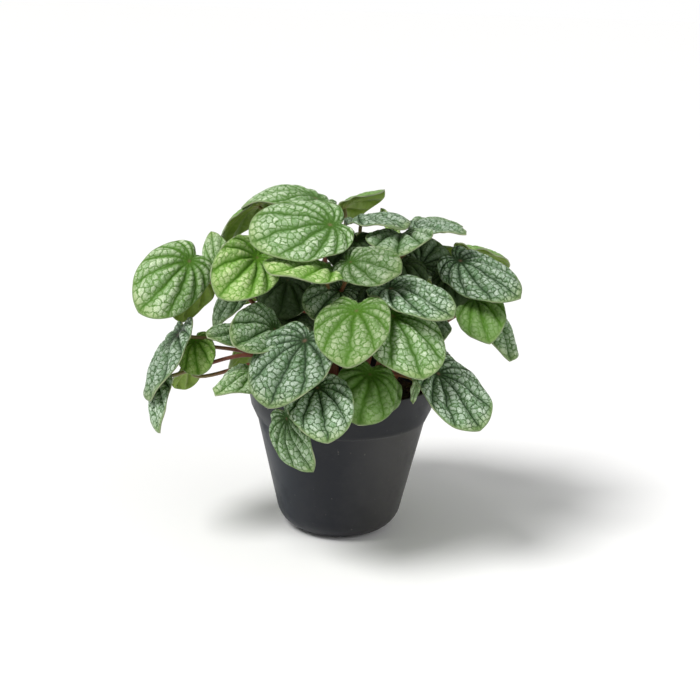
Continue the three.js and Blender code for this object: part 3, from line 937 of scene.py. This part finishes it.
def bell(value, spread):
    """1 where the value is 0, falling to 0 over the spread."""
    scaled = value / spread
    return calc("EXPONENT", scaled * scaled * -1)


def vector_of(x, y, z):
    node = x.tree.nodes.new("ShaderNodeCombineXYZ")
    for socket, value in zip(node.inputs, (x, y, z)):
        feed(socket, value)
    return Wire(x.tree, node.outputs[0])


def cells(place, feature, output, scale=1, dimensions="2D", randomness=0.8):
    """Irregular cells: the distance to their edges, or a random colour for each."""
    node = place.tree.nodes.new("ShaderNodeTexVoronoi")
    node.voronoi_dimensions = dimensions
    node.feature = feature
    node.inputs["Scale"].default_value = scale
    node.inputs["Randomness"].default_value = randomness
    feed(node.inputs["Vector"], place)
    return Wire(place.tree, node.outputs[output])


print("pattern helpers are ready")

# %% Veins and pads
VEIN_WANDER = 0.16
RIDGE_POWER = 1.5
PAD_WIDTH = 4
PAD_LENGTH = 0.8
PAD_WOBBLE = 0.9
STRIP_APART = 17.3
SEED_APART = 9


def vein_pattern(on_leaf, leaf_kind):
    """Distances on the flat leaf, in millimetres of a 50 mm leaf, to its veins and to its rungs."""
    x, y, share = parts_of(on_leaf)
    seed, pads, relief = parts_of(leaf_kind)
    flat = vector_of(x, y, seed * SEED_APART)
    wander = cloud(flat, 0.1, 1) - 0.5
    wobble = cloud(flat, 0.4, 3) - 0.5
    ripple = cloud(vector_of(y, x, seed), 0.5, 2) - 0.5
    reach = calc("SQRT", x * x + y * y)
    narrow = (1 - share ** NARROWING_POWER * NARROWING) * VEIN_STEP
    strip = (calc("ARCTAN2", y, x) + wander * VEIN_WANDER) / narrow
    width = narrow * reach
    border = to_border(strip)
    size = pads * PAD_WIDTH
    across = (calc("FRACT", strip) - 0.5) * width
    sideways = across / size + wobble * PAD_WOBBLE + calc("FLOOR", strip) * STRIP_APART
    outwards = reach / (size * PAD_LENGTH) + seed + ripple * PAD_WOBBLE
    pad_place = vector_of(sideways, outwards, 0)
    rung_gap = cells(pad_place, "DISTANCE_TO_EDGE", "Distance") * size
    return SimpleNamespace(
        x=x, share=share, reach=reach, flat=flat, relief=relief, width=width, gap=border * width,
        ridge=calc("SINE", border * math.pi) ** RIDGE_POWER,
        pad=ease(rung_gap, 0, 1),
        rung=1 - ease(rung_gap, 0.04, 0.36),
        pad_luck=parts_of(cells(pad_place, "F1", "Color"))[0],
        grain_gap=cells(flat, "DISTANCE_TO_EDGE", "Distance", scale=1.3, dimensions="3D", randomness=1),
    )


print("pads of about", PAD_WIDTH, "mm on a 50 mm leaf")

# %% Quilting
PAD_LIFT = 0.0004
RIDGE_LIFT = 0.0032
RIDGE_LEVEL = 0.55
WIDEST_STRIP = 14

quilting = bpy.data.node_groups.new("leaf_quilting", "GeometryNodeTree")
for in_out in ("INPUT", "OUTPUT"):
    quilting.interface.new_socket("Geometry", in_out=in_out, socket_type="NodeSocketGeometry")
start = quilting.nodes.new("NodeGroupInput")
end = quilting.nodes.new("NodeGroupOutput")
kept = []
for name in ("on_leaf", "leaf_kind"):
    named = quilting.nodes.new("GeometryNodeInputNamedAttribute")
    named.data_type = "FLOAT_VECTOR"
    named.inputs["Name"].default_value = name
    kept.append(Wire(quilting, named.outputs["Attribute"]))
pattern = vein_pattern(*kept)
pads = pattern.pad * PAD_LIFT * ease(pattern.gap, 0.3, 2)
swell = ease(pattern.width, 0, WIDEST_STRIP) * RIDGE_LIFT * pattern.relief
near_hub = ease(pattern.reach, 0, 9)
inside_margin = calc("SUBTRACT", 1, pattern.share ** 9, clamp=True)
height = (pads + (pattern.ridge - RIDGE_LEVEL) * swell) * near_hub * inside_margin
normal = quilting.nodes.new("GeometryNodeInputNormal")
scaled = quilting.nodes.new("ShaderNodeVectorMath")
scaled.operation = "SCALE"
quilting.links.new(normal.outputs[0], scaled.inputs[0])
feed(scaled.inputs["Scale"], height)
shift = quilting.nodes.new("GeometryNodeSetPosition")
quilting.links.new(start.outputs[0], shift.inputs["Geometry"])
quilting.links.new(scaled.outputs[0], shift.inputs["Offset"])
quilting.links.new(shift.outputs[0], end.inputs[0])
print("quilting nodes:", len(quilting.nodes))

# %% [markdown]
# The upper side is glossy. The pads are silver because light scatters in loose cells under the skin,
# and their whitest parts carry a painted sheen for gloss highlights; the veins and a bank beside them
# stay green, and thin dark rungs part one pad from the next. Towards the margin the silver gives way
# to green and then to a thin pale edge. The leaf's tone shifts all of it: each green is a blend from
# an old leaf's to a young one's, and leaves that sit in shade are darkened by a painted shade.

# %% Upper side: greens
BANK_WIDTH = 2.4
VEIN_WIDTH = 0.8


def kept_value(tree, name, output="Vector"):
    """What each point of the mesh keeps under this name."""
    node = tree.nodes.new("ShaderNodeAttribute")
    node.attribute_name = name
    return Wire(tree, node.outputs[output])


leaf_upper, tree, finish = new_finish("silver_quilted_leaf")
pattern = vein_pattern(kept_value(tree, "on_leaf"), kept_value(tree, "leaf_kind"))
silver, fresh, painted_shade = parts_of(kept_value(tree, "leaf_tone_and_shade"))
mottle = cloud(pattern.flat, 0.4, 3)

tender = ease(fresh, 0, 0.7)
soft_green = blend(fresh, paint(78, 114, 66), paint(130, 180, 66))
bank_green = blend(tender, paint(42, 80, 36), paint(102, 154, 40))
vein_green = blend(tender, paint(22, 48, 16), paint(82, 134, 24))
rung_green = blend(tender, paint(16, 36, 14), paint(76, 128, 34))
taper = 1.3 - pattern.share * 0.75
bank = bell(pattern.gap, (BANK_WIDTH + fresh) * taper)
vein = bell(pattern.gap, (VEIN_WIDTH + fresh * 0.9) * taper)
green = coat(soft_green, bank_green, bank, 0.85)
green = coat(green, vein_green, vein, 0.95 - fresh * 0.45)
print("vein and bank on a 50 mm leaf:", VEIN_WIDTH, BANK_WIDTH, "mm")

# %% Upper side: silver of the pads
pad_low = blend(fresh, paint(105, 148, 107), paint(142, 188, 92))
# the whiter end is the pads' own silver brightened further by a painted sheen that stands in for gloss
# highlights
pad_silver_and_sheen = blend(fresh, paint(228, 244, 230), paint(236, 250, 186))
grain = cloud(pattern.flat, 1.5, 2)
# the pads vary at random in tone, and where they turn to the whiter end they carry the painted sheen
painted_sheen_and_tone = ease(pattern.pad_luck * 0.3 + mottle * 0.6 + grain * 0.6, 0.42, 0.94)
pad_colour = blend(painted_sheen_and_tone, pad_low, pad_silver_and_sheen)
pad_colour = coat(pad_colour, paint(208, 218, 130), ease(pattern.x, 36, 50), 0.4)
loose_cells = ease(pattern.grain_gap, 0, 0.22)
cover = pattern.pad * (0.52 + loose_cells * 0.48)
cover = cover * (1 - vein * 0.9) * (1 - bank * (0.68 + fresh * 0.25))
cover = cover * (1 - ease(pattern.share, 0.965, 1)) * ease(pattern.reach, 1, 8)
cover = cover * (0.5 + pattern.ridge * 0.5)
cover = calc("MULTIPLY", cover, 0.75 + mottle * 0.4, clamp=True)
colour = coat(green, pad_colour, cover, silver)

faded = ease(cloud(pattern.flat, 0.22, 2), 0.32, 0.66)
rung_depth = (0.95 - tender * 0.4) * faded * (1 - bank * 0.6)
drawn = pattern.rung * rung_depth * ease(pattern.reach, 2, 8)
colour = blend(drawn, colour, rung_green)
print("upper side nodes so far:", len(tree.nodes))

# %% Upper side: margin, hub and painted shade
near_margin = ease(pattern.share, 0.9, 0.99)
towards_tip = ease(pattern.x, 20, 46)
colour = coat(colour, paint(128, 156, 84), near_margin, 0.08 + towards_tip * 0.3)
thin_edge = ease(pattern.share, 0.972, 0.992)
colour = coat(colour, paint(150, 170, 124), thin_edge, 0.5)
colour = coat(colour, paint(150, 112, 92), bell(pattern.reach, 1.3), 0.55)
# painted shade: leaves that sit in shade are darkened toward a near-black green
colour = coat(colour, paint(14, 26, 8), painted_shade, 0.9)
feed(finish.inputs["Base Color"], colour)
feed(finish.inputs["Roughness"], 0.38 - cover * 0.06 + mottle * 0.08)
finish.inputs["Specular IOR Level"].default_value = 0.3
skin = pattern.pad + ease(pattern.grain_gap, 0, 0.2) * 0.4
skin = skin - pattern.rung * 0.5 + cloud(pattern.flat, 2.2, 2) * 0.2
emboss(finish, skin, strength=0.5, depth=0.0004)
print("upper side nodes:", len(tree.nodes))

# %% [markdown]
# The underside is a plain olive green with the main veins standing out a little and paler, and a
# flush of red near the petiole. Its olive is painted lighter than its own, a painted glow for light
# shining through the thin leaf. The cut edge between the two sides gets its own pale finish.

# %% Underside and margin
leaf_under, tree, finish = new_finish("olive_leaf_underside")
pattern = vein_pattern(kept_value(tree, "on_leaf"), kept_value(tree, "leaf_kind"))
painted_shade = parts_of(kept_value(tree, "leaf_tone_and_shade"))[2]
mottle = cloud(pattern.flat, 0.2, 3)
vein = bell(pattern.gap, 0.6)
# painted light: the olive is painted lighter than the underside's own colour, standing in for light
# shining through the thin leaf
colour = blend(mottle, paint(100, 134, 28), paint(148, 176, 68))
colour = coat(colour, paint(166, 176, 112), vein, 0.35)
colour = coat(colour, paint(160, 104, 78), bell(pattern.reach, 6), 0.35)
# painted shade: the underside of a leaf in shade is darkened too
colour = coat(colour, paint(40, 54, 22), painted_shade, 0.5)
feed(finish.inputs["Base Color"], colour)
feed(finish.inputs["Roughness"], 0.48 + mottle * 0.15)
emboss(finish, vein, strength=0.3, depth=0.0004)

leaf_margin, tree, finish = new_finish("pale_leaf_margin")
rim_tone = cloud(place_on_object(tree), 160, 2)
feed(finish.inputs["Base Color"], blend(rim_tone, paint(112, 132, 86), paint(170, 178, 140)))
finish.inputs["Roughness"].default_value = 0.45
print("underside nodes:", len(leaf_under.node_tree.nodes))

# %% [markdown]
# Now the blades of one stem are bent, joined and finished together: the quilting is applied, then
# Solidify gives them their thickness and hands the underside and the edge their own materials.

# %% Blades of each stem
BLADE_THICKNESS = 0.0008


def join_as(name, pieces, *materials):
    pick(*pieces)
    bpy.ops.object.join()
    joined = bpy.context.object
    joined.name = name
    cover_with(joined, *materials)
    bpy.ops.object.shade_smooth()
    return joined


leaf_number = 0
for name, (_, _, leaves) in STEMS.items():
    blades = [bend_blade(item, leaf_number + index) for index, item in enumerate(leaves)]
    leaf_number += len(leaves)
    piece = join_as("blades_" + name, blades, leaf_upper, leaf_under, leaf_margin)
    quilt = piece.modifiers.new("quilt", "NODES")
    quilt.node_group = quilting
    thick = piece.modifiers.new("thickness", "SOLIDIFY")
    thick.thickness = BLADE_THICKNESS
    thick.offset = 0
    thick.material_offset = 1
    thick.material_offset_rim = 2
    apply_modifiers(piece)
    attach(piece, "root")
    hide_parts("leafy_stem_" + name)
for sheet in (broad_sheet, small_sheet):
    bpy.data.objects.remove(sheet)
print("blades:", leaf_number)

# %% [markdown]
# Each stem leans out of the soil to its crown, and from the crown a petiole goes to every hub. Both
# are drawn as Bezier curves with a round section, thicker where they start, because a curve is how
# one would draw a stalk by hand. They are turned into meshes and joined, stem by stem.

# %% Stalk curves
CURVE_STEPS = 14
SECTION_STEPS = 3


def draw_stalk(points, radii, name):
    """A round stalk along a cubic Bezier curve, as a mesh that knows how far along it each point is."""
    deselect_all()
    bpy.ops.curve.primitive_bezier_curve_add()
    stalk = bpy.context.object
    stalk.name = name
    stalk.data.resolution_u = CURVE_STEPS
    stalk.data.bevel_depth = 1
    stalk.data.bevel_resolution = SECTION_STEPS
    stalk.data.use_fill_caps = True
    ends = stalk.data.splines[0].bezier_points
    for end, place, handle, radius in zip(ends, points[::3], points[1:3], radii):
        end.handle_left_type = "FREE"
        end.handle_right_type = "FREE"
        end.co = place
        end.handle_left = handle
        end.handle_right = handle
        end.radius = radius
    bpy.ops.object.convert(target="MESH")
    places = np.array([v.co for v in stalk.data.vertices])
    from_start = np.linalg.norm(places - np.array(points[0]), axis=1)
    from_end = np.linalg.norm(places - np.array(points[3]), axis=1)
    write_attribute(stalk.data, "along_stalk", from_start / (from_start + from_end))
    return stalk


print("a stalk has", CURVE_STEPS, "steps along it")

# %% Places of the stalks
ROOT_DEPTH = 0.009
PETIOLE_SPACING = 0.0025
PETIOLE_RISE = 0.35
ARRIVE_BELOW = 0.3
ARRIVE_BEHIND = 0.12
END_BELOW = 0.0009
WALK_STEPS = 200


def stem_points(foot, crown):
    """The four points of the stem's Bezier curve, from below the soil to the crown."""
    top = Vector(crown) / 1000
    root = Vector((foot[0] / 1000, foot[1] / 1000, SOIL_TOP - ROOT_DEPTH))
    neck = Vector((root.x, root.y, SOIL_TOP + (top.z - SOIL_TOP) / 2))
    return [root, root.lerp(neck, 2 / 3), top.lerp(neck, 2 / 3), top]


def along_curve(points, share):
    """A point of a cubic Bezier curve."""
    rest = 1 - share
    weights = (rest ** 3, 3 * rest ** 2 * share, 3 * rest * share ** 2, share ** 3)
    return sum((point * weight for point, weight in zip(points, weights)), Vector())


def below_crown(points, distance):
    """The point of the stem that lies so far below its crown, along the curve."""
    walk = [along_curve(points, step / WALK_STEPS) for step in range(WALK_STEPS + 1)]
    for here, above in zip(walk[-2::-1], walk[:0:-1]):
        distance -= (above - here).length
        if distance <= 0:
            return here
    return walk[0]


def petiole_points(start, item):
    """The four points of a petiole's Bezier curve, from the stem to just under the blade's hub."""
    hub, along, _, up, _ = blade_frame(item)
    hub = Vector(hub) / 1000
    reach = (hub - start).length
    leave = start + Vector((0, 0, PETIOLE_RISE * reach))
    below = Vector(up) * (ARRIVE_BELOW * reach)
    behind = Vector(along) * (ARRIVE_BEHIND * reach)
    return [start, leave, hub - below - behind, hub - Vector(up) * END_BELOW]


print("stems start", ROOT_DEPTH, "m below the top of the soil")

# %% [markdown]
# Stems and petioles are a translucent brownish red, deepest near the soil, turning to a dull green
# where they meet the blade. Fine lengthwise streaks and a soft shine finish them.

# %% Stalk finish
stalk_skin, tree, finish = new_finish("reddish_stalk")
place = place_on_object(tree)
along = kept_value(tree, "along_stalk", "Fac")
blotch = cloud(place, 240, 3)
near_blade = ease(along + blotch * 0.15, 0.5, 1.05)
skin = blend(near_blade, blend(blotch, paint(92, 48, 36), paint(150, 88, 68)), paint(118, 112, 62))
feed(finish.inputs["Base Color"], skin)
finish.inputs["Roughness"].default_value = 0.4
streaks = cloud(stretched(place, (1, 1, 0.12)), 1500, 2)
emboss(finish, streaks, strength=0.3, depth=0.0002)
print("stalk finish:", stalk_skin.name)

# %% Stalks of each stem
# radii where a stalk starts and where it ends
STEM_RADII = (0.00273, 0.00234)
PETIOLE_RADII = (0.0014375, 0.0010925)

for name, (foot, crown, leaves) in STEMS.items():
    points = stem_points(foot, crown)
    stalks = [draw_stalk(points, STEM_RADII, "stem")]
    for index, item in enumerate(leaves):
        start = below_crown(points, PETIOLE_SPACING * (index + 0.5))
        stalks.append(draw_stalk(petiole_points(start, item), PETIOLE_RADII, "petiole"))
    piece = join_as("stalks_" + name, stalks, stalk_skin)
    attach(piece, "root")
    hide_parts("leafy_stem_" + name)
print("stalk pieces:", len(STEMS))
